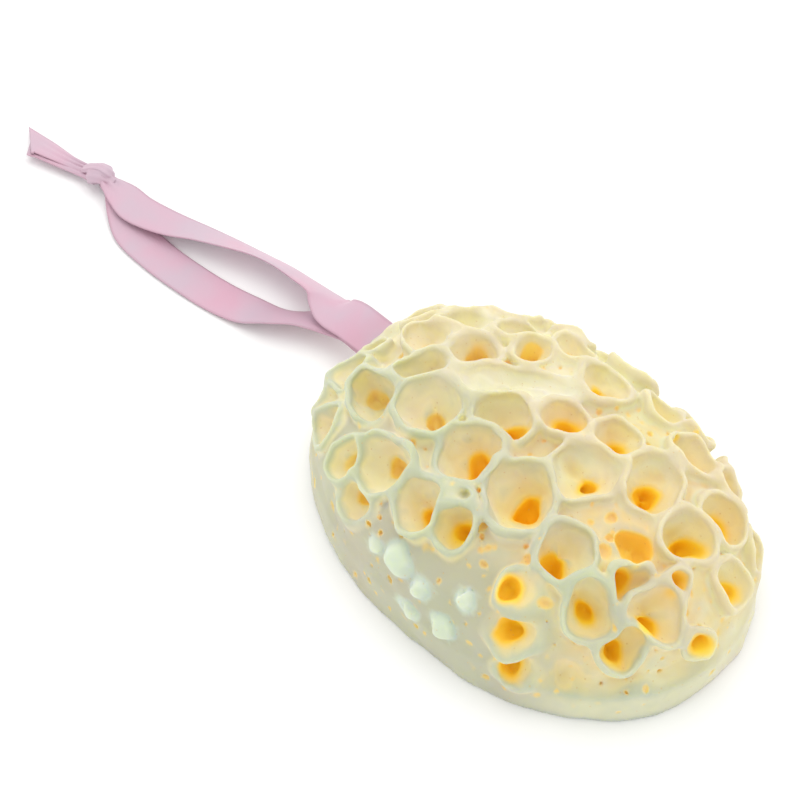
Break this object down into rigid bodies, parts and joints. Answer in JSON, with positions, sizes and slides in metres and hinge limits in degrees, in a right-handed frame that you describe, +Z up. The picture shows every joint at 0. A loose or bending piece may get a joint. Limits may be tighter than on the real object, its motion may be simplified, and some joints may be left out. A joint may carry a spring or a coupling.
{
  "type": "bath sponge",
  "caption": "Oval foam bath sponge shaped like a natural sea sponge, with flared cups over a flat-based dome and a knotted ribbon loop for hanging.",
  "frame": {"origin": "centre of the sponge's flat base, under the middle of its oval", "axes": "+Z up out of the base; +X along the oval towards its plain end; the ribbon leaves the -X end"},
  "size_m": [0.3106, 0.1043, 0.0433],
  "materials": {
    "foam": "soft open-cell polyurethane foam, pale cream yellow, matte, deep amber inside the cups",
    "ribbon": "woven satin, pale pink, soft sheen"
  },
  "bodies": {
    "root": {"sponge": "foam", "ribbon": "ribbon"}
  },
  "joints": []
}
